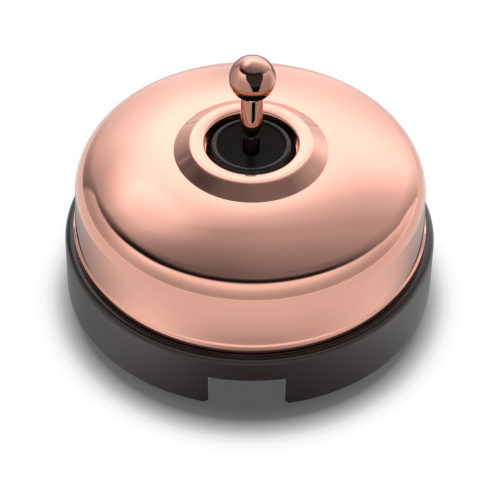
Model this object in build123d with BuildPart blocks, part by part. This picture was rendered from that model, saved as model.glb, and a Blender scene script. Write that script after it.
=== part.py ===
from build123d import *

import os
from math import acos, cos, degrees, radians, sin

# Round surface-mounted toggle switch: dark moulded base, polished domed metal cover, black
# retaining ring and a ball-ended lever that rocks a change-over contact.
# Millimetres. +Z points out of the wall, the origin is the centre of the base's underside,
# the cable notch faces -Y, and the lever swings in the YZ plane.

os.makedirs("parts", exist_ok=True)

# --- Base -----------------------------------------------------------------------------
base_radius = 40.0
base_height = 14.0
base_edge_radius = 1.5
base_foot_chamfer = 0.3
base_wall = 3.5
deck_bottom = 8.5
deck_top = 11.5
spigot_outer_radius = 36.5
spigot_wall = 1.7
spigot_top = 17.0
notch_width = 16.0
notch_height = 8.0
notch_corner = 0.9
fixing_spacing = 60.0
fixing_hole_radius = 2.1
fixing_slot_length = 7.0
fixing_head_radius = 3.3
fixing_post_wall = 2.1
fixing_head_depth = 1.5
wire_slot_length = 18.0
wire_slot_width = 8.0
wire_slot_offset = 27.0
pad_offset = 17.5
pad_radius = 3.6
pad_top = 15.5
thread_radius_m3 = 1.4
pilot_bottom = 9.7

# --- Cover ----------------------------------------------------------------------------
sheet = 0.8
cover_bottom = base_height + 0.1
bead_radius = 38.1
bead_height = 1.9
bead_fillet = 0.3
wall_foot_radius = 37.75
wall_foot_rise = 0.35
wall_top_radius = 37.35
wall_top = 26.0
shoulder_radius = 7.07
shoulder_slope = 23.8
dome_radius = 43.56
boss_foot_radius = 16.3
boss_foot_fillet = 0.4
boss_edge = (12.95, 38.35)
boss_edge_fillet = 1.2
crest_radius = 8.0
crest_lean_out = 8.0
crest_lean_in = 11.0
hole_radius = 9.88
lip_top = 35.0
lip_inner_radius = 8.7
liner_radius = 36.3
liner_bottom = spigot_top
liner_top = 25.5

# --- Lever and its pivot --------------------------------------------------------------
pivot_height = 31.0
lever_tilt = 12.0
ball_radius = 4.92
ball_distance = 21.4
stem_radius = 2.35
nose_tip = 7.8
nose_length = 3.6
nose_end_radius = 0.95
stud_radius = 0.9
stud_bottom = 1.8
stud_top = 14.0
hub_radius = 2.6
hub_half_width = 3.2
neck_radius = 1.45
neck_top = 7.55
barrel_bottom = -11.0
bore_radius = 1.75
bore_top = -3.4
pin_radius = 0.9
pin_half_length = 7.2
running_clearance = 0.05
plunger_radius = 1.68
plunger_top = -8.2
plunger_shoulder = -10.2
plunger_tip_radius = 1.2
plunger_tip_centre = -12.0
spring_radius = 1.35
spring_wire_radius = 0.22
spring_turns = 5

# --- Neck, ring and bridge ------------------------------------------------------------
plate_thickness = 1.2
plate_bottom = 26.2
plate_top = plate_bottom + plate_thickness
bridge_half_x = 13.0
bridge_half_y = 10.0
leg_half_y = 5.0
foot_reach = 21.3
bush_outer_radius = 7.4
bush_inner_radius = 6.0
bush_spigot_radius = 6.8
bush_rim_radius = 7.6
bush_rim_bottom = 25.2
bush_top = 35.0
ring_bottom = 32.2
ring_skirt_radius = 8.4
ring_flange_radius = 9.5
ring_crest_radius = 8.0
ring_crest_height = 37.85
ring_inner_radius = 7.3
dish_radius = 7.15
dish_rim_height = 37.5
dish_centre_height = 37.25
dish_spigot_bottom = 34.2
slot_half_x = 1.8
slot_half_y = 3.3

# --- Contact mechanism ----------------------------------------------------------------
rocker_height = 17.2
rocker_tilt = 8.0
rocker_half_length = 12.0
rocker_half_width = 3.0
rocker_thickness = 1.0
trunnion_radius = 0.5
trunnion_half_length = 4.3
tip_offset = 10.5
moving_tip_radius = 1.5
tip_height = 0.7
fixed_tip_radius = 1.6
strip_thickness = 0.8
tray_half_x = 11.6
tray_half_y = 20.0
tray_wall = 1.5
tray_top = 24.2
tray_floor = 13.0
strip_top = tray_floor + strip_thickness
partition_inner = 12.6
partition_outer = 13.6
post_x = 8.9
post_y = 6.5
post_radius = 1.8
lid_half_y = 13.0
screw_radius_m2 = 0.8
lid_head = (1.6, 1.0, 0.4)
bridge_head = (2.8, 1.8, 0.8)
clamp_head = (1.9, 1.5, 0.6)
lid_counterbore = 0.9
lid_screw_length = 7.9
support_half_x = 4.6
support_width = 5.2
ear_offset = 3.9
ear_length = 3.6
ear_top = 18.6
common_strip_x = 6.7
common_strip_width = 3.0
front_strip_y = 10.6
front_strip_width = 3.4
terminal_strip_width = 4.0
strip_overrun = 2.2
partition_gap = 0.3
wire_window = (4.4, 4.0)
terminal_x = 6.5
terminal_y = 16.0
terminal_size = (5.8, 4.4, 6.0)
wire_hole_radius = 1.4
wire_hole_height = 16.4
clamp_screw_radius = 1.25

# --- Earthing -------------------------------------------------------------------------
earth_angle = 48.0
earth_radius = 28.0
leaf_width = 5.0
leaf_thickness = 0.4
leaf_gap = 1.5
leaf_rise_radius = 33.7
leaf_bend_height = 17.8
leaf_bow_radius = 36.33
leaf_bow_height = 21.5
leaf_tip_radius = 35.5
leaf_tip_height = 24.0

# --- Derived frames -------------------------------------------------------------------
tilt = radians(lever_tilt)
pivot = Vector(0, 0, pivot_height)
lever_direction = Vector(0, sin(tilt), cos(tilt))
lever_axis = Axis(pivot, lever_direction)
lever_profile = Plane(origin=pivot, x_dir=(1, 0, 0), z_dir=(0, -cos(tilt), sin(tilt)))
rocker_lean = radians(rocker_tilt)
fulcrum = Vector(0, 0, rocker_height)
rocker_plane = Plane(
    origin=fulcrum, x_dir=(1, 0, 0), z_dir=(0, -sin(rocker_lean), cos(rocker_lean))
)
earth_plane = Plane.XY.rotated((0, 0, earth_angle))
earth_section = Plane(
    origin=(0, 0, 0), x_dir=earth_plane.x_dir, z_dir=-earth_plane.y_dir
)
terminal_places = {
    "terminal_common": (terminal_x, -terminal_y),
    "terminal_front": (-terminal_x, -terminal_y),
    "terminal_back": (0, terminal_y),
}
profile_plane = Plane.XZ


def save(piece, name):
    """Label a finished piece and write it under its own name."""
    piece.part.label = name
    export_step(piece.part, f"parts/{name}.step")


def slotted_screw(place, bottom, seat, shank_radius, head):
    """Make an upright screw whose head, (radius, height, slot width), bears at seat."""
    head_radius, head_height, slot_width = head
    with BuildPart() as screw:
        with BuildSketch(Plane.XY.offset(bottom)):
            with Locations(place):
                Circle(shank_radius)
        extrude(amount=seat - bottom)
        with BuildSketch(Plane.XY.offset(seat)):
            with Locations(place):
                Circle(head_radius)
        extrude(amount=head_height)
        with BuildSketch(Plane.XY.offset(seat + head_height / 2)):
            with Locations(place):
                Rectangle(2 * head_radius + 1, slot_width)
        extrude(amount=head_height, mode=Mode.SUBTRACT)
    return screw.part


# --- Base: ring wall, deck, locating spigot and cable notch ----------------------------
with BuildPart() as base:
    with BuildSketch(profile_plane):
        with BuildLine():
            Polyline(
                (0, deck_bottom),
                (base_radius - base_wall, deck_bottom),
                (base_radius - base_wall, 0),
                (base_radius - base_foot_chamfer, 0),
                (base_radius, base_foot_chamfer),
                (base_radius, base_height),
                (spigot_outer_radius, base_height),
                (spigot_outer_radius, spigot_top),
                (spigot_outer_radius - spigot_wall, spigot_top),
                (spigot_outer_radius - spigot_wall, deck_top),
                (0, deck_top),
                close=True,
            )
        make_face()
    revolve(axis=Axis.Z)
    rims = base.edges().filter_by(GeomType.CIRCLE)
    outer_rims = rims.filter_by(lambda rim: rim.radius > base_radius - 0.1)
    fillet(outer_rims.sort_by(Axis.Z)[-1], base_edge_radius)
    # Posts under the two wall-fixing slots, joined to the ring wall.
    with BuildSketch(Plane.XY):
        post_width = 2 * (fixing_hole_radius + fixing_post_wall)
        post_reach = base_radius - base_wall / 2 - fixing_spacing / 2
        for side in (-1, 1):
            with Locations((side * fixing_spacing / 2, 0)):
                SlotOverall(fixing_slot_length + 2 * fixing_post_wall, post_width)
            with Locations((side * (fixing_spacing + post_reach) / 2, 0)):
                Rectangle(post_reach, post_width)
    extrude(amount=deck_bottom)
    # Pads that carry the bridge's feet.
    with BuildSketch(Plane.XY.offset(deck_top)):
        with Locations((-pad_offset, 0), (pad_offset, 0)):
            Circle(pad_radius)
    extrude(amount=pad_top - deck_top)
    with BuildSketch(Plane.XY.offset(pilot_bottom)):
        with Locations((-pad_offset, 0), (pad_offset, 0)):
            Circle(thread_radius_m3)
    extrude(amount=pad_top - pilot_bottom, mode=Mode.SUBTRACT)
    # Wall-fixing slots with seats for the screw heads.
    with BuildSketch(Plane.XY):
        with GridLocations(fixing_spacing, 0, 2, 1):
            SlotOverall(fixing_slot_length, 2 * fixing_hole_radius)
    extrude(amount=deck_top, mode=Mode.SUBTRACT)
    with BuildSketch(Plane.XY.offset(deck_top - fixing_head_depth)):
        with GridLocations(fixing_spacing, 0, 2, 1):
            SlotOverall(
                fixing_slot_length + 2 * (fixing_head_radius - fixing_hole_radius),
                2 * fixing_head_radius,
            )
    extrude(amount=fixing_head_depth, mode=Mode.SUBTRACT)
    # Wire slots through the deck, in front of and behind the mechanism.
    with BuildSketch(Plane.XY.offset(deck_bottom)):
        with GridLocations(0, 2 * wire_slot_offset, 1, 2):
            SlotOverall(wire_slot_length, wire_slot_width)
    extrude(amount=deck_top - deck_bottom, mode=Mode.SUBTRACT)
    # Cable notch in the front of the ring wall.
    with BuildSketch(Plane.XZ.offset(base_radius - base_wall - 3)):
        with BuildLine():
            half = notch_width / 2
            Polyline((-half, notch_corner), (-half, notch_height), (half, notch_height))
            Line((half, notch_height), (half, notch_corner))
            RadiusArc((half, notch_corner), (half + notch_corner, 0), notch_corner)
            Polyline(
                (half + notch_corner, 0),
                (half + notch_corner, -1),
                (-half - notch_corner, -1),
                (-half - notch_corner, 0),
            )
            RadiusArc((-half - notch_corner, 0), (-half, notch_corner), notch_corner)
        make_face()
    extrude(amount=base_wall + 6, mode=Mode.SUBTRACT)
    # Gap in the spigot for the earth leaf.
    with BuildSketch(earth_plane.offset(base_height)):
        with Locations((spigot_outer_radius - spigot_wall / 2, 0)):
            Rectangle(3 * spigot_wall, leaf_width + leaf_gap)
    extrude(amount=spigot_top - base_height, mode=Mode.SUBTRACT)
save(base, "base")

# --- Cover: spun shell with a bead, rounded shoulder, low dome and a boss round the hole
with BuildPart() as cover:
    shoulder_centre = (wall_top_radius - shoulder_radius, wall_top)
    centre_gap = dome_radius - shoulder_radius
    dome_centre = (
        shoulder_centre[0] - centre_gap * sin(radians(shoulder_slope)),
        shoulder_centre[1] - centre_gap * cos(radians(shoulder_slope)),
    )
    crest_centre = (
        boss_edge[0] - crest_radius * sin(radians(crest_lean_out)),
        boss_edge[1] - crest_radius * cos(radians(crest_lean_out)),
    )
    lean_in = radians(crest_lean_in)
    roll_start_radius = crest_centre[0] - crest_radius * sin(lean_in)
    roll_radius = (roll_start_radius - hole_radius) / (1 - sin(lean_in))
    roll_centre = (
        hole_radius + roll_radius,
        crest_centre[1] + (crest_radius - roll_radius) * cos(lean_in),
    )
    inner_foot_radius = boss_foot_radius - 0.45
    shoulder_sweep = 90 - shoulder_slope
    foot_angle = degrees(acos((boss_foot_radius - dome_centre[0]) / dome_radius))
    inner_foot_angle = degrees(acos((inner_foot_radius - dome_centre[0]) / (dome_radius - sheet)))
    crest_start = 90 - crest_lean_out
    crest_sweep = crest_lean_out + crest_lean_in
    roll_start = 90 + crest_lean_in
    roll_sweep = 90 - crest_lean_in
    inner_reach = (hole_radius + sheet - crest_centre[0]) / (crest_radius - sheet)
    inner_crest_sweep = degrees(acos(inner_reach)) - crest_start
    with BuildSketch(profile_plane):
        with BuildLine():
            Polyline(
                (bead_radius - sheet, cover_bottom),
                (bead_radius, cover_bottom),
                (bead_radius, cover_bottom + bead_height),
                (wall_foot_radius, cover_bottom + bead_height + wall_foot_rise),
                (wall_top_radius, wall_top),
            )
            CenterArc(shoulder_centre, shoulder_radius, 0, shoulder_sweep)
            dome_arc = CenterArc(
                dome_centre, dome_radius, shoulder_sweep, foot_angle - shoulder_sweep
            )
            crest_arc = CenterArc(crest_centre, crest_radius, crest_start, crest_sweep)
            roll_arc = CenterArc(roll_centre, roll_radius, roll_start, roll_sweep)
            Line(dome_arc @ 1, crest_arc @ 0)
            inner_crest_arc = CenterArc(
                crest_centre, crest_radius - sheet, crest_start, inner_crest_sweep
            )
            Polyline(
                roll_arc @ 1,
                (hole_radius, lip_top),
                (lip_inner_radius, lip_top),
                (lip_inner_radius, lip_top - sheet),
                (hole_radius + sheet, lip_top - sheet),
                inner_crest_arc @ 1,
            )
            inner_dome_arc = CenterArc(
                dome_centre,
                dome_radius - sheet,
                shoulder_sweep,
                inner_foot_angle - shoulder_sweep,
            )
            Line(inner_crest_arc @ 0, inner_dome_arc @ 1)
            CenterArc(shoulder_centre, shoulder_radius - sheet, 0, shoulder_sweep)
            Polyline(
                (wall_top_radius - sheet, wall_top),
                (wall_foot_radius - sheet, cover_bottom + bead_height),
                (bead_radius - sheet, cover_bottom),
            )
        make_face()
    revolve(axis=Axis.Z)
    boss_foot = cover.edges().filter_by(GeomType.CIRCLE).filter_by(
        lambda rim: abs(rim.radius - boss_foot_radius) < 0.05
    )
    fillet(boss_foot, boss_foot_fillet)
    boss_corner = cover.edges().filter_by(GeomType.CIRCLE).filter_by(
        lambda rim: abs(rim.radius - boss_edge[0]) < 0.05
    )
    fillet(boss_corner, boss_edge_fillet)
    bead_rims = cover.edges().filter_by(GeomType.CIRCLE)
    fillet(bead_rims.filter_by(lambda rim: abs(rim.radius - bead_radius) < 0.01), bead_fillet)
save(cover, "cover")

# --- Insulating liner: thin sleeve inside the wall, open where the earth leaf passes ----
with BuildPart() as cover_liner:
    with BuildSketch(Plane.XY.offset(liner_bottom)):
        Circle(liner_radius)
        Circle(liner_radius - sheet, mode=Mode.SUBTRACT)
    extrude(amount=liner_top - liner_bottom)
    with BuildSketch(earth_plane.offset(liner_bottom)):
        with Locations((liner_radius, 0)):
            Rectangle(4 * sheet, leaf_width + leaf_gap)
    extrude(amount=liner_top - liner_bottom, mode=Mode.SUBTRACT)
save(cover_liner, "cover_liner")

# --- Retaining ring: screws on the neck bush and clamps the cover's lip -----------------
with BuildPart() as retaining_ring:
    with BuildSketch(profile_plane):
        with BuildLine():
            Polyline(
                (ring_crest_radius + 0.55, ring_crest_height - 0.45),
                (ring_flange_radius, lip_top + 1.3),
                (ring_flange_radius, lip_top),
                (ring_skirt_radius, lip_top),
                (ring_skirt_radius, ring_bottom),
                (bush_outer_radius, ring_bottom),
                (bush_outer_radius, bush_top + 0.1),
                (ring_inner_radius, bush_top + 0.1),
                (ring_inner_radius, ring_crest_height - 0.2),
            )
            ThreePointArc(
                (ring_inner_radius, ring_crest_height - 0.2),
                (ring_crest_radius - 0.1, ring_crest_height),
                (ring_crest_radius + 0.55, ring_crest_height - 0.45),
            )
        make_face()
    revolve(axis=Axis.Z)
    flange_rim = retaining_ring.edges().filter_by(GeomType.CIRCLE).sort_by(SortBy.RADIUS)
    fillet(flange_rim.group_by(SortBy.RADIUS)[-1].sort_by(Axis.Z)[-1], 0.25)
save(retaining_ring, "retaining_ring")

# --- Slot plate: dished disc in the neck that the lever passes through -------------------
with BuildPart() as slot_plate:
    with BuildSketch(profile_plane):
        with BuildLine():
            Polyline(
                (0, dish_centre_height),
                (0, dish_spigot_bottom),
                (bush_inner_radius, dish_spigot_bottom),
                (bush_inner_radius, bush_top),
                (dish_radius, bush_top),
                (dish_radius, dish_rim_height),
            )
            TangentArc(
                (0, dish_centre_height), (dish_radius, dish_rim_height), tangent=(1, 0)
            )
        make_face()
    revolve(axis=Axis.Z)
    with BuildSketch(Plane.XY.offset(dish_spigot_bottom)):
        SlotOverall(2 * slot_half_y, 2 * slot_half_x, rotation=90)
    extrude(amount=dish_rim_height, mode=Mode.SUBTRACT)
save(slot_plate, "slot_plate")

# --- Neck bush: threaded collar staked in the bridge, bored for the lever's pin ---------
with BuildPart() as neck_bush:
    with BuildSketch(profile_plane):
        with BuildLine():
            Polyline(
                (bush_inner_radius, bush_rim_bottom),
                (bush_rim_radius, bush_rim_bottom),
                (bush_rim_radius, plate_bottom),
                (bush_spigot_radius, plate_bottom),
                (bush_spigot_radius, plate_top),
                (bush_outer_radius, plate_top),
                (bush_outer_radius, bush_top),
                (bush_inner_radius, bush_top),
                close=True,
            )
        make_face()
    revolve(axis=Axis.Z)
    with BuildSketch(Plane.YZ.offset(-bush_outer_radius)):
        with Locations((0, pivot_height)):
            Circle(pin_radius)
    extrude(amount=2 * bush_outer_radius, mode=Mode.SUBTRACT)
save(neck_bush, "neck_bush")

# --- Bridge: steel strip bent into a top plate, two legs and two screwed feet -----------
with BuildPart() as bridge:
    with BuildSketch(Plane.XY.offset(plate_bottom)):
        RectangleRounded(2 * bridge_half_x, 2 * bridge_half_y, 1.5)
        Circle(bush_spigot_radius, mode=Mode.SUBTRACT)
    extrude(amount=plate_thickness)
    for side in (-1, 1):
        with BuildSketch(Plane.XY.offset(pad_top)):
            with Locations((side * (bridge_half_x - plate_thickness / 2), 0)):
                Rectangle(plate_thickness, 2 * leg_half_y)
        extrude(amount=plate_bottom - pad_top)
        with BuildSketch(Plane.XY.offset(pad_top)):
            foot_length = foot_reach - bridge_half_x + plate_thickness
            with Locations((side * (foot_reach - foot_length / 2), 0)):
                Rectangle(foot_length, 2 * leg_half_y)
            with Locations((side * pad_offset, 0)):
                Circle(thread_radius_m3 + 0.2, mode=Mode.SUBTRACT)
        extrude(amount=plate_thickness)
    foot_corners = bridge.edges().filter_by(Axis.Z).group_by(Axis.X)
    fillet(foot_corners[0] + foot_corners[-1], 1.5)
save(bridge, "bridge")

# --- Lever pin --------------------------------------------------------------------------
with BuildPart() as lever_pin:
    with BuildSketch(Plane.YZ.offset(-pin_half_length)):
        with Locations((0, pivot_height)):
            Circle(pin_radius)
    extrude(amount=2 * pin_half_length)
    chamfer(lever_pin.edges().filter_by(GeomType.CIRCLE), 0.15)
save(lever_pin, "lever_pin")

# --- Lever knob: ball, stem and pointed nose, bored for the stud ------------------------
with BuildPart() as lever_knob:
    with BuildSketch(lever_profile):
        with BuildLine():
            ball_foot = ball_distance - (ball_radius**2 - stem_radius**2) ** 0.5
            nose_top = nose_tip + nose_length
            ThreePointArc(
                (0, ball_distance + ball_radius),
                (ball_radius, ball_distance),
                (stem_radius, ball_foot),
            )
            Line((stem_radius, ball_foot), (stem_radius, nose_top))
            TangentArc((stem_radius, nose_top), (nose_end_radius, nose_tip), tangent=(0, -1))
            Polyline(
                (nose_end_radius, nose_tip),
                (stud_radius, nose_tip),
                (stud_radius, stud_top),
                (0, stud_top),
                (0, ball_distance + ball_radius),
            )
        make_face()
    revolve(axis=lever_axis)
save(lever_knob, "lever_knob")

# --- Lever stud: joins the knob to its insulating carrier -------------------------------
with BuildPart() as lever_stud:
    with BuildSketch(lever_profile):
        with Locations((stud_radius / 2, (stud_bottom + stud_top) / 2)):
            Rectangle(stud_radius, stud_top - stud_bottom)
    revolve(axis=lever_axis)
save(lever_stud, "lever_stud")

# --- Lever carrier: insulating hub on the pin, neck above and spring barrel below -------
with BuildPart() as lever_carrier:
    with BuildSketch(lever_profile):
        with BuildLine():
            Polyline(
                (0, neck_top),
                (neck_radius - 0.25, neck_top),
                (neck_radius, neck_top - 0.25),
                (neck_radius, 0),
                (hub_radius, 0),
                (hub_radius, barrel_bottom),
                (bore_radius, barrel_bottom),
                (bore_radius, bore_top),
                (0, bore_top),
                close=True,
            )
        make_face()
    revolve(axis=lever_axis)
    with BuildSketch(Plane.YZ.offset(-hub_half_width)):
        with Locations((0, pivot_height)):
            Circle(hub_radius)
    extrude(amount=2 * hub_half_width)
    with BuildSketch(Plane.YZ.offset(-hub_half_width)):
        with Locations((0, pivot_height)):
            Circle(pin_radius + running_clearance)
    extrude(amount=2 * hub_half_width, mode=Mode.SUBTRACT)
    with BuildSketch(lever_profile):
        with Locations((stud_radius / 2, (stud_bottom + neck_top) / 2)):
            Rectangle(stud_radius, neck_top - stud_bottom)
    revolve(axis=lever_axis, mode=Mode.SUBTRACT)
save(lever_carrier, "lever_carrier")

# --- Spring and plunger in the barrel ---------------------------------------------------
with BuildPart() as lever_spring:
    spring_room = bore_top - plunger_top
    spring_height = spring_room - 2 * spring_wire_radius - 0.1
    spring_start = pivot + lever_direction * (plunger_top + spring_wire_radius + 0.05)
    with BuildLine():
        coil = Helix(
            spring_height / spring_turns,
            spring_height,
            spring_radius,
            center=spring_start,
            direction=lever_direction,
        )
    with BuildSketch(Plane(origin=coil @ 0, z_dir=coil % 0)):
        Circle(spring_wire_radius)
    sweep(is_frenet=True)
save(lever_spring, "lever_spring")

with BuildPart() as plunger:
    with BuildSketch(lever_profile):
        with BuildLine():
            Polyline(
                (0, plunger_tip_centre - plunger_tip_radius),
                (0, plunger_top),
                (plunger_radius, plunger_top),
                (plunger_radius, plunger_shoulder),
                (plunger_tip_radius, plunger_shoulder - 0.4),
                (plunger_tip_radius, plunger_tip_centre),
            )
            TangentArc(
                (plunger_tip_radius, plunger_tip_centre),
                (0, plunger_tip_centre - plunger_tip_radius),
                tangent=(0, -1),
            )
        make_face()
    revolve(axis=lever_axis)
save(plunger, "plunger")

# --- Rocker: see-saw contact blade with trunnions, and its two contact tips --------------
with BuildPart() as rocker:
    with BuildSketch(rocker_plane.offset(-rocker_thickness / 2)):
        RectangleRounded(2 * rocker_half_width, 2 * rocker_half_length, 1.6)
    extrude(amount=rocker_thickness)
    with BuildSketch(Plane.YZ.offset(-trunnion_half_length)):
        with Locations((0, rocker_height)):
            Circle(trunnion_radius)
    extrude(amount=2 * trunnion_half_length)
save(rocker, "rocker")

with BuildPart() as moving_tips:
    tip_sphere = (moving_tip_radius**2 + tip_height**2) / (2 * tip_height)
    underside = -rocker_thickness / 2
    for side in (-1, 1):
        tip_origin = rocker_plane.from_local_coords((0, side * tip_offset, underside))
        tip_axis = Axis(tip_origin, rocker_plane.z_dir)
        tip_profile = Plane(origin=tip_origin, x_dir=(1, 0, 0), z_dir=-rocker_plane.y_dir)
        with BuildSketch(tip_profile):
            with BuildLine():
                Line((moving_tip_radius, 0), (0, 0))
                Line((0, 0), (0, -tip_height))
                ThreePointArc(
                    (0, -tip_height),
                    (
                        tip_sphere * sin(radians(20)),
                        tip_sphere - tip_height - tip_sphere * cos(radians(20)),
                    ),
                    (moving_tip_radius, 0),
                )
            make_face()
        revolve(axis=tip_axis)
save(moving_tips, "moving_tips")

# --- Rocker support: ears for the trunnions and the common strip -------------------------
with BuildPart() as rocker_support:
    common_inner = common_strip_x - common_strip_width / 2
    common_outer = common_strip_x + common_strip_width / 2
    with BuildSketch(Plane.XY.offset(tray_floor)):
        with Locations(((common_outer - support_half_x) / 2, 0)):
            Rectangle(common_outer + support_half_x, support_width)
        with Locations((common_strip_x, -(terminal_y + strip_overrun) / 2)):
            Rectangle(common_outer - common_inner, terminal_y + strip_overrun)
    extrude(amount=strip_thickness)
    with BuildSketch(Plane.XY.offset(strip_top)):
        with GridLocations(2 * ear_offset, 0, 2, 1):
            Rectangle(strip_thickness, ear_length)
    extrude(amount=ear_top - strip_top)
    with BuildSketch(Plane.YZ.offset(-ear_offset - strip_thickness)):
        with Locations((0, rocker_height)):
            Circle(trunnion_radius + running_clearance)
    extrude(amount=2 * (ear_offset + strip_thickness), mode=Mode.SUBTRACT)
save(rocker_support, "rocker_support")

# --- Fixed contacts: two strips with riveted tips ----------------------------------------
with BuildPart() as contact_strip_front:
    strip_left = -terminal_x - terminal_strip_width / 2
    strip_right = fixed_tip_radius + 0.3
    arm_start = -front_strip_y + 0.8
    arm_end = -terminal_y - strip_overrun
    with BuildSketch(Plane.XY.offset(tray_floor)):
        with Locations(((strip_left + strip_right) / 2, -front_strip_y)):
            Rectangle(strip_right - strip_left, front_strip_width)
        with Locations((-terminal_x, (arm_start + arm_end) / 2)):
            Rectangle(terminal_strip_width, arm_start - arm_end)
    extrude(amount=strip_thickness)
save(contact_strip_front, "contact_strip_front")

with BuildPart() as contact_strip_back:
    back_start = tip_offset - fixed_tip_radius + 0.1
    back_end = terminal_y + strip_overrun
    with BuildSketch(Plane.XY.offset(tray_floor)):
        with Locations((0, (back_start + back_end) / 2)):
            Rectangle(terminal_strip_width, back_end - back_start)
    extrude(amount=strip_thickness)
save(contact_strip_back, "contact_strip_back")

with BuildPart() as fixed_tips:
    with BuildSketch(Plane.XY.offset(strip_top)):
        with GridLocations(0, 2 * tip_offset, 1, 2):
            Circle(fixed_tip_radius)
    extrude(amount=tip_height)
    tops = fixed_tips.faces().group_by(Axis.Z)[-1]
    fillet(tops.edges(), 0.2)
save(fixed_tips, "fixed_tips")

# --- Terminals: drilled brass blocks on the strips, each with a clamp screw --------------
block_x, block_y, block_z = terminal_size
for terminal_name, (place_x, place_y) in terminal_places.items():
    with BuildPart() as terminal:
        with BuildSketch(Plane.XY.offset(strip_top)):
            with Locations((place_x, place_y)):
                Rectangle(block_x, block_y)
        extrude(amount=block_z)
        chamfer(terminal.faces().sort_by(Axis.Z)[-1].edges(), 0.3)
        with BuildSketch(Plane.XZ.offset(-place_y - block_y / 2)):
            with Locations((place_x, wire_hole_height)):
                Circle(wire_hole_radius)
        extrude(amount=block_y, mode=Mode.SUBTRACT)
        with BuildSketch(Plane.XY.offset(wire_hole_height)):
            with Locations((place_x, place_y)):
                Circle(clamp_screw_radius)
        extrude(amount=block_z, mode=Mode.SUBTRACT)
    save(terminal, terminal_name)

block_top = strip_top + block_z
clamp_screws = [
    slotted_screw(
        place, wire_hole_height + wire_hole_radius, block_top, clamp_screw_radius, clamp_head
    )
    for place in terminal_places.values()
]
with BuildPart() as terminal_screws:
    add(clamp_screws)
save(terminal_screws, "terminal_screws")

# --- Tray and lid: moulded housing round the contacts ------------------------------------
with BuildPart() as mechanism_tray:
    with BuildSketch(Plane.XY.offset(deck_top)):
        RectangleRounded(2 * tray_half_x, 2 * tray_half_y, 1.2)
    extrude(amount=tray_top - deck_top)
    with BuildSketch(Plane.XY.offset(tray_floor)):
        Rectangle(2 * (tray_half_x - tray_wall), 2 * (tray_half_y - tray_wall))
    extrude(amount=tray_top - tray_floor, mode=Mode.SUBTRACT)
    # Partitions across the tray, raised clear of the strips that run below them.
    partition_middle = (partition_inner + partition_outer) / 2
    with BuildSketch(Plane.XY.offset(strip_top + partition_gap)):
        with GridLocations(0, 2 * partition_middle, 1, 2):
            Rectangle(2 * tray_half_x - 1, partition_outer - partition_inner)
    extrude(amount=tray_top - strip_top - partition_gap)
    # Wall between the two front terminals.
    with BuildSketch(Plane.XY.offset(tray_floor)):
        with Locations((0, -(partition_outer + tray_half_y - tray_wall) / 2)):
            Rectangle(1, tray_half_y - tray_wall - partition_outer + 0.2)
    extrude(amount=tray_top - tray_floor)
    # Posts for the lid screws.
    with BuildSketch(Plane.XY.offset(tray_floor)):
        with Locations((-post_x, -post_y), (post_x, post_y)):
            Circle(post_radius)
    extrude(amount=tray_top - tray_floor)
    with BuildSketch(Plane.XY.offset(tray_top + lid_counterbore - lid_screw_length - 1)):
        with Locations((-post_x, -post_y), (post_x, post_y)):
            Circle(screw_radius_m2)
    extrude(amount=lid_screw_length + 1, mode=Mode.SUBTRACT)
    # Wire openings in the end walls.
    for place_x, place_y in terminal_places.values():
        outward = 1 if place_y > 0 else -1
        window_width, window_height = wire_window
        with BuildSketch(Plane.XY.offset(wire_hole_height - window_height / 2)):
            with Locations((place_x, outward * (tray_half_y - tray_wall / 2))):
                Rectangle(window_width, tray_wall + 1)
        extrude(amount=window_height, mode=Mode.SUBTRACT)
save(mechanism_tray, "mechanism_tray")

with BuildPart() as mechanism_lid:
    with BuildSketch(Plane.XY.offset(tray_top)):
        RectangleRounded(2 * tray_half_x, 2 * lid_half_y, 1.2)
        RectangleRounded(2 * hub_half_width + 0.6, 10.4, 1.0, mode=Mode.SUBTRACT)
    extrude(amount=plate_bottom - tray_top)
    with BuildSketch(Plane.XY.offset(bush_rim_bottom - 0.1)):
        Circle(bush_rim_radius + 0.2)
    extrude(amount=2, mode=Mode.SUBTRACT)
    with BuildSketch(Plane.XY.offset(tray_top)):
        with Locations((-post_x, -post_y), (post_x, post_y)):
            Circle(screw_radius_m2)
    extrude(amount=2, mode=Mode.SUBTRACT)
    with BuildSketch(Plane.XY.offset(tray_top + lid_counterbore)):
        with Locations((-post_x, -post_y), (post_x, post_y)):
            Circle(lid_head[0] + 0.1)
    extrude(amount=2, mode=Mode.SUBTRACT)
save(mechanism_lid, "mechanism_lid")

# --- Screws ------------------------------------------------------------------------------
lid_seat = tray_top + lid_counterbore
lid_screw_pair = [
    slotted_screw(place, lid_seat - lid_screw_length, lid_seat, screw_radius_m2, lid_head)
    for place in ((-post_x, -post_y), (post_x, post_y))
]
with BuildPart() as lid_screws:
    add(lid_screw_pair)
save(lid_screws, "lid_screws")

bridge_screw_pair = [
    slotted_screw(
        place, pilot_bottom + 0.3, pad_top + plate_thickness, thread_radius_m3, bridge_head
    )
    for place in ((-pad_offset, 0), (pad_offset, 0))
]
with BuildPart() as mechanism_screws:
    add(bridge_screw_pair)
save(mechanism_screws, "mechanism_screws")

# --- Earthing: terminal block on the deck and a leaf that bears on the cover -------------
with BuildPart() as earth_leaf:
    leaf_level = deck_top + leaf_thickness / 2
    with BuildSketch(earth_section.offset(-leaf_width / 2)):
        with BuildLine() as leaf_path:
            Polyline(
                (earth_radius - 3, leaf_level),
                (leaf_rise_radius, leaf_level),
                (leaf_rise_radius, leaf_bend_height),
                (leaf_bow_radius, leaf_bow_height),
                (leaf_tip_radius, leaf_tip_height),
            )
        trace(leaf_path.line, leaf_thickness)
    extrude(amount=leaf_width)
save(earth_leaf, "earth_leaf")

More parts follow.
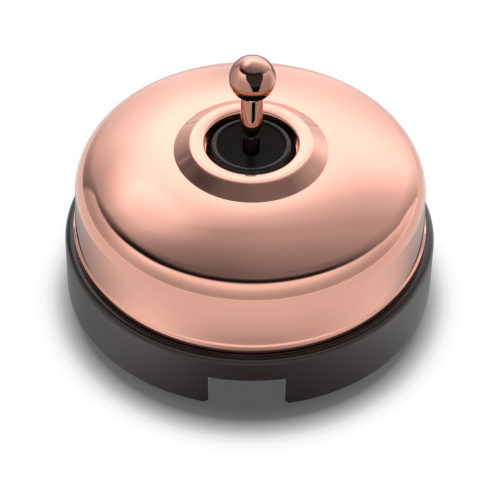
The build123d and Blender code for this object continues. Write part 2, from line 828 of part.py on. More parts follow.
earth_block_bottom = deck_top + leaf_thickness
earth_block_top = earth_block_bottom + block_z
earth_wire_height = earth_block_bottom + wire_hole_height - strip_top
with BuildPart() as earth_terminal:
    with BuildSketch(earth_plane.offset(earth_block_bottom)):
        with Locations((earth_radius, 0)):
            Rectangle(block_y + 1, block_x)
    extrude(amount=block_z)
    with BuildSketch(earth_plane.offset(earth_wire_height)):
        with Locations((earth_radius, 0)):
            Circle(clamp_screw_radius)
    extrude(amount=block_z, mode=Mode.SUBTRACT)
    with BuildSketch(earth_section.offset(-block_x / 2)):
        with Locations((earth_radius, earth_wire_height)):
            Circle(wire_hole_radius)
    extrude(amount=block_x, mode=Mode.SUBTRACT)
save(earth_terminal, "earth_terminal")

earth_place = earth_plane.from_local_coords((earth_radius, 0, 0))
earth_clamp_screw = slotted_screw(
    (earth_place.X, earth_place.Y),
    earth_wire_height + wire_hole_radius,
    earth_block_top,
    clamp_screw_radius,
    clamp_head,
)
with BuildPart() as earth_screw:
    add(earth_clamp_screw)
save(earth_screw, "earth_screw")
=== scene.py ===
"""Looks of the round toggle switch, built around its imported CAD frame.

The turned outer pieces are lathed again here with a finer mesh, because a mirror finish
shows every facet. All other pieces are the CAD nodes themselves with their own materials.
Profile dimensions are millimetres, and the scene is in metres.
"""

from math import acos, asin, atan2, cos, degrees, hypot, pi, radians, sin, tan

import bmesh
import bpy
from mathutils import Matrix, Vector


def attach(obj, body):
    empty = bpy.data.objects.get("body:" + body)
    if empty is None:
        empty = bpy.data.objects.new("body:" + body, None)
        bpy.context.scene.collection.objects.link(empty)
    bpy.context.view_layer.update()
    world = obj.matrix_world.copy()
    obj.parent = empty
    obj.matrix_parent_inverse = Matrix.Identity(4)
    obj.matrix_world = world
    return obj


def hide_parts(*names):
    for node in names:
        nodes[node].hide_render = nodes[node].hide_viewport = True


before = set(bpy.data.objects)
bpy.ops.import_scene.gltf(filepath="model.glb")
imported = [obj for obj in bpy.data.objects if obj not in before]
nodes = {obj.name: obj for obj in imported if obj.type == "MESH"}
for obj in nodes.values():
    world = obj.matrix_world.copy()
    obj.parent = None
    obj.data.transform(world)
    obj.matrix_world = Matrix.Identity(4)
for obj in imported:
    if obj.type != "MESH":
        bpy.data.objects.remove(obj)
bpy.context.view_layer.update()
MM = 0.001
scene = bpy.context.scene

# --- Profiles -------------------------------------------------------------------------


def arc(centre, radius, start, end, steps):
    """Points on a circular arc between two angles in degrees, from the +R axis."""
    angles = [radians(start + (end - start) * i / steps) for i in range(steps + 1)]
    return [(centre[0] + radius * cos(a), centre[1] + radius * sin(a)) for a in angles]


def rounded(points, radii, steps=8):
    """A polyline with its inner corners rounded by the given radii."""
    made = [points[0]]
    for before, corner, after, radius in zip(points, points[1:], points[2:], radii):
        b, c, a = Vector(before), Vector(corner), Vector(after)
        if radius <= 0:
            made.append(tuple(c))
            continue
        u, v = (b - c).normalized(), (a - c).normalized()
        half = acos(max(-1.0, min(1.0, u.dot(v)))) / 2
        reach = radius / tan(half)
        centre = c + (u + v).normalized() * (radius / sin(half))
        start, end = c + u * reach - centre, c + v * reach - centre
        first = atan2(start.y, start.x)
        sweep = (atan2(end.y, end.x) - first + pi) % (2 * pi) - pi
        for i in range(steps + 1):
            angle = first + sweep * i / steps
            made.append((centre.x + radius * cos(angle), centre.y + radius * sin(angle)))
    made.append(points[-1])
    return made


def denser(points, longest):
    """The same line with no stretch longer than the given length."""
    made = [points[0]]
    for (r0, z0), (r1, z1) in zip(points, points[1:]):
        pieces = max(1, int(hypot(r1 - r0, z1 - z0) / longest + 0.999))
        for i in range(1, pieces + 1):
            t = i / pieces
            made.append((r0 + (r1 - r0) * t, z0 + (z1 - z0) * t))
    return made


def lathe(name, profile, body, replaced, turns=256, crease=32, place=Matrix.Identity(4)):
    """Turns a closed profile about +Z into a mesh that stands for a CAD node."""
    clean = []
    for point in profile:
        if not clean or hypot(point[0] - clean[-1][0], point[1] - clean[-1][1]) > 1e-4:
            clean.append(point)
    if hypot(clean[0][0] - clean[-1][0], clean[0][1] - clean[-1][1]) < 1e-4:
        clean.pop()
    mesh = bmesh.new()
    rings = []
    for radius, height in clean:
        if radius < 1e-6:
            rings.append([mesh.verts.new((0, 0, height * MM))] * turns)
            continue
        ring = []
        for i in range(turns):
            a = 2 * pi * i / turns
            ring.append(mesh.verts.new((radius * cos(a) * MM, radius * sin(a) * MM, height * MM)))
        rings.append(ring)
    for low, high in zip(rings, rings[1:] + rings[:1]):
        for i in range(turns):
            j = (i + 1) % turns
            corners = []
            for vertex in (low[i], low[j], high[j], high[i]):
                if vertex not in corners:
                    corners.append(vertex)
            if len(corners) > 2:
                mesh.faces.new(corners)
    bmesh.ops.recalc_face_normals(mesh, faces=mesh.faces)
    data = bpy.data.meshes.new(name)
    mesh.to_mesh(data)
    mesh.free()
    data.shade_smooth()
    data.set_sharp_from_angle(angle=radians(crease))
    data.transform(place)
    piece = bpy.data.objects.new(name, data)
    scene.collection.objects.link(piece)
    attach(piece, body)
    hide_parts(replaced)
    return piece


# --- Node materials -------------------------------------------------------------------


class Graph:
    """A small helper that adds nodes to a material's or world's tree."""

    def __init__(self, tree):
        self.tree = tree
        tree.nodes.clear()

    def add(self, kind, links=(), **settings):
        node = self.tree.nodes.new(kind)
        for key, value in settings.items():
            setattr(node, key, value)
        for socket, value in dict(links).items():
            target = node.inputs[socket]
            if isinstance(value, bpy.types.NodeSocket):
                self.tree.links.new(value, target)
            else:
                target.default_value = value
        return node

    def math(self, operation, *values, clamp=False):
        node = self.add("ShaderNodeMath", operation=operation, use_clamp=clamp)
        for socket, value in zip(node.inputs, values):
            if isinstance(value, bpy.types.NodeSocket):
                self.tree.links.new(value, socket)
            else:
                socket.default_value = value
        return node.outputs[0]

    def ramp(self, value, stops, interpolation="LINEAR"):
        node = self.add("ShaderNodeValToRGB", {"Fac": value})
        node.color_ramp.interpolation = interpolation
        elements = node.color_ramp.elements
        while len(elements) < len(stops):
            elements.new(1.0)
        for element, (position, colour) in zip(elements, stops):
            if isinstance(colour, (int, float)):
                colour = (colour, colour, colour)
            element.position = position
            element.color = (*colour, 1.0)
        return node.outputs["Color"]

    def curve(self, value, points, interpolation="CARDINAL"):
        """A value read from a smooth line through points, level beyond its two ends."""
        first, last = points[0][0], points[-1][0]
        peak = max(level for place, level in points)
        reach = self.add("ShaderNodeMapRange", {"Value": value, "From Min": first, "From Max": last})
        stops = [((place - first) / (last - first), level / peak) for place, level in points]
        return self.math("MULTIPLY", self.ramp(reach.outputs["Result"], stops, interpolation), peak)

    def tint(self, level, colour):
        node = self.add("ShaderNodeVectorMath", {0: level, 1: colour}, operation="MULTIPLY")
        return node.outputs[0]

    def blend(self, factor, low, high):
        """low where the factor is 0, high where it is 1."""
        node = self.add("ShaderNodeMix", data_type="FLOAT")
        for socket, value in zip(node.inputs, (factor, None, low, high)):
            if isinstance(value, bpy.types.NodeSocket):
                self.tree.links.new(value, socket)
            elif value is not None:
                socket.default_value = value
        return node.outputs[0]

    def noise(self, vector, scale, detail=3.0, roughness=0.5, distortion=0.0):
        node = self.add(
            "ShaderNodeTexNoise",
            {
                "Vector": vector,
                "Scale": scale,
                "Detail": detail,
                "Roughness": roughness,
                "Distortion": distortion,
            },
        )
        return node.outputs["Fac"]

    def spread(self, value, low, high):
        """Maps a noise's usual range 0.3-0.7 to low-high."""
        node = self.add(
            "ShaderNodeMapRange",
            {"Value": value, "From Min": 0.3, "From Max": 0.7, "To Min": low, "To Max": high},
        )
        return node.outputs["Result"]


def tinted(colour, factor):
    return tuple(min(1.0, c * factor) for c in colour)


def material(
    name,
    colour,
    metallic=0.0,
    roughness=(0.3, 0.4),
    grain=900.0,
    bump=0.02,
    mottle=250.0,
    shift=0.12,
    coat=0.0,
    coat_roughness=0.1,
    level=0.5,
    sheen=(1.0, 1.0, 1.0),
    stretch=(1.0, 1.0, 1.0),
    normal_detail=4.0,
):
    """A procedural finish: mottled colour, uneven gloss and a fine surface grain."""
    made = bpy.data.materials.new(name)
    made.use_nodes = True
    g = Graph(made.node_tree)
    place = g.add("ShaderNodeTexCoord").outputs["Object"]
    stretched = g.add("ShaderNodeMapping", {"Vector": place, "Scale": stretch})
    vector = stretched.outputs["Vector"]
    tone = g.ramp(
        g.noise(vector, mottle, 4.0, 0.55),
        [(0.3, tinted(colour, 1 - shift)), (0.7, tinted(colour, 1 + shift))],
    )
    gloss = g.spread(g.noise(vector, grain * 0.35, 3.0, 0.6), *roughness)
    height = g.noise(vector, grain, normal_detail, 0.6)
    relief = g.add(
        "ShaderNodeBump", {"Height": height, "Strength": 1.0, "Distance": bump * MM}
    )
    shader = g.add(
        "ShaderNodeBsdfPrincipled",
        {
            "Base Color": tone,
            "Metallic": metallic,
            "Roughness": gloss,
            "Specular IOR Level": level,
            "Specular Tint": (*sheen, 1.0),
            "Coat Weight": coat,
            "Coat Roughness": coat_roughness,
            "Normal": relief.outputs["Normal"],
        },
    )
    g.add("ShaderNodeOutputMaterial", {"Surface": shader.outputs["BSDF"]})
    return made


COPPER = (0.700, 0.352, 0.268)
finishes = {
    "bakelite": material(
        "bakelite",
        (0.0115, 0.0062, 0.0042),
        0.0,
        (0.1, 0.16),
        1500.0,
        0.0012,
        300.0,
        0.2,
        level=0.6,
        sheen=(0.72, 0.64, 0.61),
    ),
    "copper": material(
        "copper", COPPER, 1.0, (0.035, 0.075), 2500.0, 0.00012, 60.0, 0.02
    ),
    "gloss_black": material(
        "gloss_black",
        (0.0105, 0.0080, 0.0072),
        0.0,
        (0.12, 0.2),
        1500.0,
        0.0008,
        300.0,
        0.2,
        level=0.02,
        sheen=(1.0, 0.85, 0.8),
    ),
    "satin_black": material(
        "satin_black",
        (0.0075, 0.0062, 0.0058),
        0.0,
        (0.22, 0.3),
        1500.0,
        0.001,
        300.0,
        0.2,
        level=0.3,
        sheen=(1.0, 0.88, 0.85),
    ),
    "fibre": material(
        "fibre", (0.36, 0.29, 0.20), 0.0, (0.7, 0.85), 2200.0, 0.05, 500.0, 0.18
    ),
    "steel": material(
        "steel", (0.56, 0.57, 0.59), 1.0, (0.22, 0.36), 2500.0, 0.004, 400.0, 0.08
    ),
    "brass": material(
        "brass", (0.72, 0.50, 0.20), 1.0, (0.18, 0.32), 2200.0, 0.004, 300.0, 0.10
    ),
    "silver": material(
        "silver", (0.80, 0.79, 0.76), 1.0, (0.14, 0.24), 2500.0, 0.002, 500.0, 0.05
    ),
    "ivory": material(
        "ivory", (0.66, 0.60, 0.46), 0.0, (0.34, 0.46), 1400.0, 0.008, 300.0, 0.06
    ),
    "nylon": material(
        "nylon", (0.74, 0.73, 0.68), 0.0, (0.38, 0.5), 1400.0, 0.008, 300.0, 0.05
    ),
}
slot_of = {
    "base": "bakelite",
    "cover": "copper",
    "cover_liner": "fibre",
    "retaining_ring": "gloss_black",
    "slot_plate": "gloss_black",
    "neck_bush": "brass",
    "bridge": "steel",
    "lever_pin": "steel",
    "mechanism_tray": "ivory",
    "mechanism_lid": "ivory",
    "lid_screws": "steel",
    "mechanism_screws": "steel",
    "rocker_support": "brass",
    "contact_strip_front": "brass",
    "contact_strip_back": "brass",
    "fixed_tips": "silver",
    "terminal_common": "brass",
    "terminal_front": "brass",
    "terminal_back": "brass",
    "terminal_screws": "steel",
    "earth_terminal": "brass",
    "earth_screw": "steel",
    "earth_leaf": "brass",
    "lever_knob": "copper",
    "lever_stud": "steel",
    "lever_carrier": "gloss_black",
    "lever_spring": "steel",
    "plunger": "nylon",
    "rocker": "brass",
    "moving_tips": "silver",
}
for name, slot in slot_of.items():
    slots = nodes[name].material_slots
    if not slots:
        nodes[name].data.materials.append(finishes[slot])
    for each in slots:
        each.link = "OBJECT"
        each.material = finishes[slot]

# --- Lathed outer pieces --------------------------------------------------------------

SHEET = 0.8
COVER_BOTTOM = 14.1
BEAD_RADIUS = 38.1
BEAD_TOP = 16.0
BEAD_FILLET = 0.3
WALL_FOOT = (37.75, 16.35)
WALL_FOOT_FILLET = 0.1
WALL_TOP = (37.35, 26.0)
SHOULDER_RADIUS = 7.07
SHOULDER_SLOPE = 23.8
DOME_RADIUS = 43.56
BOSS_FOOT_RADIUS = 16.3
BOSS_EDGE = (12.95, 38.35)
CREST_RADIUS = 8.0
CREST_LEAN_OUT = 8.0
CREST_LEAN_IN = 11.0
BOSS_FOOT_FILLET = 0.4
BOSS_EDGE_FILLET = 1.2
INNER_BOSS_FOOT_STEP = 0.45
HOLE_RADIUS = 9.88
LIP_INNER_RADIUS = 8.7
LIP_TOP = 35.0


def cover_profile():
    """Bead, wall, shoulder, dome and boss of the spun cover, then back along its inside."""
    shoulder_centre = (WALL_TOP[0] - SHOULDER_RADIUS, WALL_TOP[1])
    sweep = 90 - SHOULDER_SLOPE
    gap = DOME_RADIUS - SHOULDER_RADIUS
    dome_centre = (
        shoulder_centre[0] - gap * cos(radians(sweep)),
        shoulder_centre[1] - gap * sin(radians(sweep)),
    )
    foot = degrees(acos((BOSS_FOOT_RADIUS - dome_centre[0]) / DOME_RADIUS))
    inner_radius = DOME_RADIUS - SHEET
    inner_foot_radius = BOSS_FOOT_RADIUS - INNER_BOSS_FOOT_STEP
    inner_foot = degrees(acos((inner_foot_radius - dome_centre[0]) / inner_radius))
    crest_centre = (
        BOSS_EDGE[0] - CREST_RADIUS * sin(radians(CREST_LEAN_OUT)),
        BOSS_EDGE[1] - CREST_RADIUS * cos(radians(CREST_LEAN_OUT)),
    )
    lean_in = radians(CREST_LEAN_IN)
    roll_start = crest_centre[0] - CREST_RADIUS * sin(lean_in)
    roll_radius = (roll_start - HOLE_RADIUS) / (1 - sin(lean_in))
    roll_centre = (
        HOLE_RADIUS + roll_radius,
        crest_centre[1] + (CREST_RADIUS - roll_radius) * cos(lean_in),
    )
    crest_start = 90 - CREST_LEAN_OUT
    crest_end = 90 + CREST_LEAN_IN
    bead = [(BEAD_RADIUS - SHEET, COVER_BOTTOM), (BEAD_RADIUS, COVER_BOTTOM)]
    bead += [(BEAD_RADIUS, BEAD_TOP), WALL_FOOT, WALL_TOP]
    line = rounded(bead, [BEAD_FILLET, BEAD_FILLET, WALL_FOOT_FILLET])
    line += arc(shoulder_centre, SHOULDER_RADIUS, 0, sweep, 60)[1:]
    dome = arc(dome_centre, DOME_RADIUS, sweep, foot, 60)
    boss = arc(crest_centre, CREST_RADIUS, crest_start, crest_end, 24)
    slope = [dome[-4], dome[-1], boss[0], boss[8]]
    line += dome[1:-3]
    line += rounded(slope, [BOSS_FOOT_FILLET, BOSS_EDGE_FILLET], 10)[1:]
    line += boss[9:]
    line += arc(roll_centre, roll_radius, crest_end, 180, 32)[1:]
    line += [(HOLE_RADIUS, LIP_TOP), (LIP_INNER_RADIUS, LIP_TOP)]
    line += [(LIP_INNER_RADIUS, LIP_TOP - SHEET), (HOLE_RADIUS + SHEET, LIP_TOP - SHEET)]
    inner_reach = (HOLE_RADIUS + SHEET - crest_centre[0]) / (CREST_RADIUS - SHEET)
    inner_end = degrees(acos(inner_reach))
    line += arc(crest_centre, CREST_RADIUS - SHEET, inner_end, crest_start, 12)
    line += arc(dome_centre, inner_radius, inner_foot, sweep, 30)
    line += arc(shoulder_centre, SHOULDER_RADIUS - SHEET, sweep, 0, 20)[1:]
    line.append((WALL_FOOT[0] - SHEET, BEAD_TOP))
    return line


RING_FLANGE_RADIUS = 9.5
RING_FLANGE_TOP = 36.3
RING_FLANGE_FILLET = 0.25
RING_SKIRT_RADIUS = 8.4
RING_BOTTOM = 32.2
RING_THREAD_RADIUS = 7.4
RING_THREAD_TOP = 35.1
RING_INNER = (7.3, 37.65)
RING_CREST = (7.9, 37.85)
RING_OUTER = (8.55, 37.4)


def ring_profile():
    """Flange, skirt, bore and rounded crest of the retaining ring."""
    inner, crest, outer = Vector(RING_INNER), Vector(RING_CREST), Vector(RING_OUTER)
    flange = [outer, (RING_FLANGE_RADIUS, RING_FLANGE_TOP), (RING_FLANGE_RADIUS, LIP_TOP)]
    skirt = [(RING_SKIRT_RADIUS, LIP_TOP), (RING_SKIRT_RADIUS, RING_BOTTOM)]
    thread_foot = [(RING_THREAD_RADIUS, RING_BOTTOM)]
    line = rounded(flange + skirt + thread_foot, [RING_FLANGE_FILLET, 0.0, 0.0, 0.0])
    line += [(RING_THREAD_RADIUS, RING_THREAD_TOP), (RING_INNER[0], RING_THREAD_TOP)]
    half = (outer - inner) / 2
    middle = inner + half
    across = Vector((-half.y, half.x)).normalized()
    rise = (crest - middle).dot(across)
    radius = (half.length**2 + rise**2) / (2 * rise)
    centre = middle + across * (rise - radius)
    first = degrees(atan2(inner.y - centre.y, inner.x - centre.x))
    last = degrees(atan2(outer.y - centre.y, outer.x - centre.x))
    line += arc(centre, radius, first, last, 16)
    return line


PIVOT_HEIGHT = 31.0
LEVER_TILT = 12.0
BALL_RADIUS = 4.92
BALL_DISTANCE = 21.4
STEM_RADIUS = 2.35
NOSE_TIP = 7.8
NOSE_LENGTH = 3.6
NOSE_END_RADIUS = 0.95
STUD_RADIUS = 0.9
STUD_TOP = 14.0


def knob_profile():
    """Ball, stem, pointed nose and the bore for the stud, along the lever's axis."""
    waist = degrees(asin(STEM_RADIUS / BALL_RADIUS))
    line = arc((0, BALL_DISTANCE), BALL_RADIUS, 90, waist - 90, 72)
    line[0] = (0.0, line[0][1])
    narrowing = STEM_RADIUS - NOSE_END_RADIUS
    nose_radius = (narrowing**2 + NOSE_LENGTH**2) / (2 * narrowing)
    sweep = degrees(asin(NOSE_LENGTH / nose_radius))
    nose_centre = (STEM_RADIUS - nose_radius, NOSE_TIP + NOSE_LENGTH)
    line += arc(nose_centre, nose_radius, 0, -sweep, 14)
    line += [(STUD_RADIUS, NOSE_TIP), (STUD_RADIUS, STUD_TOP), (0.0, STUD_TOP)]
    return line


lever_place = Matrix.Translation((0, 0, PIVOT_HEIGHT * MM)) @ Matrix.Rotation(
    radians(-LEVER_TILT), 4, "X"
)
LONGEST_FACET = 0.8
LONGEST_RING_FACET = 0.5
cover = lathe("spun_cover", denser(cover_profile(), LONGEST_FACET), "housing", "cover", 384)
ring_line = denser(ring_profile(), LONGEST_RING_FACET)
ring = lathe("ring", ring_line, "housing", "retaining_ring", 256)
knob_line = denser(knob_profile(), LONGEST_FACET)
knob = lathe("knob", knob_line, "lever", "lever_knob", 128, 32, lever_place)
turned_pieces = (
    (cover, "copper", "copper"),
    (ring, "satin_black", "gloss_black"),
    (knob, "copper", "copper"),
)
for piece, finish, slot in turned_pieces:
    piece.data.materials.append(finishes[finish])
# The cover and the ring don't mirror the lever.
knob.visible_glossy = False

# --- Studio light ---------------------------------------------------------------------
# This isn't neutral studio light: its levels are shaped for the front view of the copper.
# x, y and z are a direction's parts: y grows away from the camera's side, z upwards.

TENT_END = radians(125)
TENT_DARK = 0.05
TOWARDS_LAMP = Vector((-0.36, 0.48, 0.8)).normalized()
PARTING_MIDDLE = 16.0
ROOM_TINT = (0.975, 1.02, 1.06)
TENT_TINT = (0.985, 1.015, 1.03)


def tent_level(g, y, z, right):
    """Pale light tent round the front, brightest near its upper edge and to the sides."""
    height = g.curve(z, [(0.0, 0.65), (0.2, 0.69), (0.45, 1.0), (0.65, 1.4), (0.8, 1.4)])
    left_side = g.curve(y, [(-0.6, 1.0), (-0.2, 1.2), (0.2, 0.93)])
    right_side = g.curve(y, [(-0.6, 0.98), (0.0, 1.12), (0.4, 1.9)])
    return g.math("MULTIPLY", height, g.blend(right, left_side, right_side))


def tent_edge(g, y, right):
    """Height of the tent's upper edge plus one, lower towards the sides and the back."""
    left_edge = g.curve(y, [(-0.62, 1.77), (-0.35, 1.67), (0.0, 1.57), (0.45, 1.46)])
    right_edge = g.curve(
        y, [(-0.62, 1.77), (-0.3, 1.64), (0.0, 1.5), (0.2, 1.37), (0.45, 1.2), (0.6, 0.8), (0.7, 0.0)]
    )
    return g.blend(right, left_edge, right_edge)


def over_tent(g, y, z, right):
    """How far a direction is above the tent's edge."""
    return g.math("SUBTRACT", g.math("ADD", z, 1.0), tent_edge(g, y, right))


def in_tent(g, x, above, y, right):
    """1 inside the tent and 0 outside it."""
    past_end = g.math(
        "ADD", g.math("MULTIPLY", x, -cos(TENT_END)), g.math("MULTIPLY", y, sin(TENT_END))
    )
    left_end = g.curve(past_end, [(-0.03, 1.0), (0.03, 0.0)])
    return g.math(
        "MULTIPLY", g.curve(above, [(-0.04, 1.0), (0.045, 0.0)]), g.blend(right, left_end, 1.0)
    )


def room_level(g, x, y, z, right):
    """Dim ceiling, brighter towards the back."""
    left_back = g.curve(
        y, [(-0.2, 0.22), (0.0, 0.27), (0.3, 0.56), (0.42, 0.68), (0.6, 1.5), (0.8, 2.3), (1.0, 1.35)]
    )
    lower = g.curve(z, [(0.1, 0.19), (0.35, 0.23), (0.55, 0.33), (0.67, 0.7), (0.78, 1.0)])
    shaded = g.curve(x, [(-0.7, 1.0), (-0.43, 0.6), (-0.15, 0.0)])
    left_back = g.math("MULTIPLY", left_back, g.blend(shaded, 1.0, lower))
    right_back = g.curve(
        y, [(-0.2, 0.28), (0.0, 0.34), (0.3, 0.63), (0.45, 0.8), (0.6, 1.3), (0.78, 2.15), (1.0, 1.4)]
    )
    low = g.curve(z, [(0.0, 0.62), (0.3, 0.8), (0.6, 1.0)])
    beside = g.curve(x, [(0.15, 0.0), (0.45, 1.0)])
    right_back = g.math("MULTIPLY", right_back, g.blend(beside, 1.0, low))
    return g.blend(right, left_back, right_back)


def lamp_level(g, direction):
    """A soft round lamp high on the back left, brightest at its middle."""
    links = {0: direction, 1: TOWARDS_LAMP}
    nearness = g.add("ShaderNodeVectorMath", links, operation="DOT_PRODUCT")
    return g.curve(
        nearness.outputs["Value"], [(0.93, 0.0), (0.96, 0.1), (0.98, 0.38), (0.994, 0.75)]
    )


def light_room(tree):
    """The room above and behind, a dark gap over the tent, and white for the camera."""
    g = Graph(tree)
    direction = g.add("ShaderNodeTexCoord").outputs["Generated"]
    x, y, z = g.add("ShaderNodeSeparateXYZ", {"Vector": direction}).outputs
    right = g.curve(x, [(-0.1, 0.0), (0.1, 1.0)])
    above = over_tent(g, y, z, right)
    gap = g.curve(above, [(0.15, 0.08), (0.21, 0.44), (0.27, 1.0)])
    gap_left = g.curve(y, [(0.05, 0.0), (0.42, 1.0)])
    gap_right = g.curve(y, [(-0.33, 0.0), (0.03, 1.0)])
    gap = g.blend(g.blend(right, gap_left, gap_right), gap, 1.0)
    room = g.math("ADD", room_level(g, x, y, z, right), lamp_level(g, direction))
    room = g.math("MULTIPLY", room, gap)
    level = g.blend(in_tent(g, x, above, y, right), room, TENT_DARK)
    level = g.math("MULTIPLY", level, g.curve(z, [(-0.09, 0.0), (-0.07, 1.0)]))
    lit = g.add("ShaderNodeBackground", {"Color": g.tint(level, ROOM_TINT), "Strength": 1.0})
    white = g.add("ShaderNodeBackground", {"Color": (1, 1, 1, 1), "Strength": 1.0})
    seen = g.add("ShaderNodeLightPath").outputs["Is Camera Ray"]
    both = g.add("ShaderNodeMixShader", {0: seen, 1: lit.outputs[0], 2: white.outputs[0]})
    g.add("ShaderNodeOutputWorld", {"Surface": both.outputs[0]})


world = bpy.data.worlds.new("studio")
scene.world = world
world.use_nodes = True
light_room(world.node_tree)


def glow(name, build, tint=TENT_TINT, clear=True):
    """A light that only adds: what lies behind it still shows through."""
    made = bpy.data.materials.new(name)
    made.use_nodes = True
    graph = Graph(made.node_tree)
    colour = graph.tint(build(graph), tint)
    light = graph.add("ShaderNodeEmission", {"Color": colour, "Strength": 1.0})
    shown = light
    if clear:
        through = graph.add("ShaderNodeBsdfTransparent")
        shown = graph.add("ShaderNodeAddShader", {0: light.outputs[0], 1: through.outputs[0]})
    graph.add("ShaderNodeOutputMaterial", {"Surface": shown.outputs[0]})
    return made


def tent_parts(g):
    """Direction parts, tent mask and tent light on a shell round the object."""
    place = g.add("ShaderNodeTexCoord").outputs["Object"]
    direction = g.add("ShaderNodeVectorMath", {0: place}, operation="NORMALIZE").outputs[0]
    x, y, z = g.add("ShaderNodeSeparateXYZ", {"Vector": direction}).outputs
    right = g.curve(x, [(-0.1, 0.0), (0.1, 1.0)])
    mask = in_tent(g, x, over_tent(g, y, z, right), y, right)
    level = g.math("SUBTRACT", tent_level(g, y, z, right), TENT_DARK)
    return x, y, z, right, g.math("MULTIPLY", level, mask)


def whole_tent(g):
    """The tent as all pieces but the knob see it, down to just below the horizon."""
    _, _, z, _, level = tent_parts(g)
    return g.math("MULTIPLY", level, g.curve(z, [(-0.09, 0.0), (-0.07, 1.0)]))


def opened_tent(g):
    """The tent as the knob sees it: parted in front, wide at the top, narrow below."""
    x, y, z, right, level = tent_parts(g)
    turn = g.math("MULTIPLY", g.math("ARCTAN2", x, g.math("MULTIPLY", y, -1.0)), 180 / pi)
    half_width = g.curve(z, [(-0.65, 15.0), (-0.2, 19.0), (0.3, 37.0), (0.82, 70.0)])
    off_middle = g.math("ABSOLUTE", g.math("SUBTRACT", turn, PARTING_MIDDLE))
    parted = g.curve(g.math("SUBTRACT", off_middle, half_width), [(-3.0, 0.0), (3.0, 1.0)])
    side = g.blend(right, 0.95, 0.8)
    front = g.math("MULTIPLY", g.math("MULTIPLY", level, side), parted)
    behind = g.math(
        "MULTIPLY", g.curve(y, [(0.1, 0.0), (0.35, 0.35)]), g.curve(z, [(-0.08, 1.0), (0.02, 0.0)])
    )
    return g.math("MAXIMUM", front, behind)


def light_only(lamp, name, lit):
    """Limits a light to the given pieces."""
    chosen = bpy.data.collections.new(name)
    for piece in lit:
        chosen.objects.link(piece)
    lamp.light_linking.receiver_collection = chosen


def shell(name, radius, build):
    mesh = bmesh.new()
    bmesh.ops.create_uvsphere(mesh, u_segments=48, v_segments=24, radius=radius)
    data = bpy.data.meshes.new(name)
    mesh.to_mesh(data)
    mesh.free()
    made = bpy.data.objects.new(name, data)
    scene.collection.objects.link(made)
    made.data.materials.append(glow(name, build))
    made.visible_camera = False
    made.visible_shadow = False
    return made


TENT_RADIUS = 4.0
PARTED_TENT_RADIUS = 5.0

others = [obj for name, obj in nodes.items() if name != "lever_knob"] + [cover, ring]
light_only(shell("tent", TENT_RADIUS, whole_tent), "lit_by_tent", others)
light_only(shell("parted_tent", PARTED_TENT_RADIUS, opened_tent), "lit_by_parted_tent", [knob])

# --- Floor ----------------------------------------------------------------------------


def disc(name, radius, height):
    mesh = bmesh.new()
    bmesh.ops.create_circle(mesh, cap_ends=True, segments=128, radius=radius)
    data = bpy.data.meshes.new(name)
    mesh.to_mesh(data)
    mesh.free()
    made = bpy.data.objects.new(name, data)
    made.location.z = height
    scene.collection.objects.link(made)
    return made


def distance_from(graph, centre):
    place = graph.add("ShaderNodeTexCoord").outputs["Object"]
    shifted = graph.add(
        "ShaderNodeVectorMath", {0: place, 1: (*centre, 0)}, operation="SUBTRACT"
    )
    return graph.add(
        "ShaderNodeVectorMath", {0: shifted.outputs[0]}, operation="LENGTH"
    ).outputs["Value"]


SHADOW_CENTRE = (0, -0.006)


def shown_floor(graph):
    """White with a painted soft shadow that leans towards the front, placed in decimetres."""
    return graph.ramp(
        graph.math("MULTIPLY", distance_from(graph, SHADOW_CENTRE), 10.0),
        [(0.345, 0.094), (0.375, 0.14), (0.405, 0.45), (0.43, 0.8), (0.445, 0.93), (0.47, 1.0)],
    )


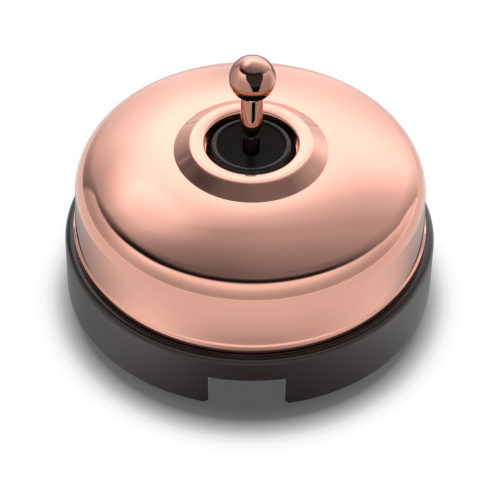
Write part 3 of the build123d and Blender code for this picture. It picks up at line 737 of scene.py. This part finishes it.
def mirrored_floor(graph):
    """The floor as the object reflects it: a glowing disc with painted shade close by and a painted
    pool of light each side.
    """
    from_middle = distance_from(graph, (0, 0))
    # Painted shadow: the glow is dimmer close to the object.
    reach = graph.curve(from_middle, [(0.04, 0.2), (0.055, 0.5), (0.06, 0.78), (0.067, 1.03)])
    place = graph.add("ShaderNodeTexCoord").outputs["Object"]
    x, y, _ = graph.add("ShaderNodeSeparateXYZ", {"Vector": place}).outputs
    around = graph.math("ARCTAN2", x, graph.math("MULTIPLY", y, -1.0))
    # Painted pools of light: brighter patches towards each side.
    painted_light_patches = graph.curve(
        graph.math("MULTIPLY", around, 180 / pi),
        [(-90, 1.15), (-65, 1.8), (-40, 2.8), (-10, 1.15), (15, 1.15), (57, 2.5), (90, 1.35)],
    )
    near = graph.curve(from_middle, [(0.053, 1.0), (0.0565, 0.55), (0.061, 0.18), (0.068, 0.0)])
    return graph.math("MULTIPLY", reach, graph.blend(near, 1.0, painted_light_patches))


FLOOR_RADIUS = 3.0
BOUNCE_RADIUS = 0.437
BOUNCE_DROP = 0.0002

floor = disc("floor", FLOOR_RADIUS, 0.0)
# The floor the camera sees is white with a painted soft shadow round and under the object.
floor.data.materials.append(glow("floor_white_painted_shadow", shown_floor, (1.0, 1.0, 1.0), clear=False))
floor.visible_glossy = False
floor.visible_diffuse = False
floor.visible_transmission = False
floor.visible_shadow = False
# A glowing disc just below the floor stands in for light off the floor, with painted shade and
# painted pools of light.
bounce = disc("floor_bounce", BOUNCE_RADIUS, -BOUNCE_DROP)
bounce.data.materials.append(glow("floor_glow", mirrored_floor))
bounce.visible_camera = False
bounce.visible_shadow = False
light_only(bounce, "lit_by_floor", others)

# --- Camera ---------------------------------------------------------------------------

CAMERA_ELEVATION = radians(44.13)
CAMERA_ROLL = radians(1.032)
CAMERA_DISTANCE = 0.5
CAMERA_TARGET = Vector((0.143, 0.0, 6.804)) * MM
SENSOR_WIDTH = 36.0
FOCAL_LENGTH = 164.28

back = Vector((0, -cos(CAMERA_ELEVATION), sin(CAMERA_ELEVATION)))
camera_data = bpy.data.cameras.new("camera")
camera_data.sensor_width = SENSOR_WIDTH
camera_data.lens = FOCAL_LENGTH
camera_data.clip_start = 0.01
camera = bpy.data.objects.new("camera", camera_data)
scene.collection.objects.link(camera)
camera.rotation_mode = "QUATERNION"
camera.location = CAMERA_TARGET + back * CAMERA_DISTANCE
look = (-back).to_track_quat("-Z", "Y").to_matrix().to_4x4()
roll = Matrix.Rotation(CAMERA_ROLL, 4, "Z")
camera.rotation_quaternion = (look @ roll).to_quaternion()
scene.camera = camera
scene.view_settings.view_transform = "Standard"
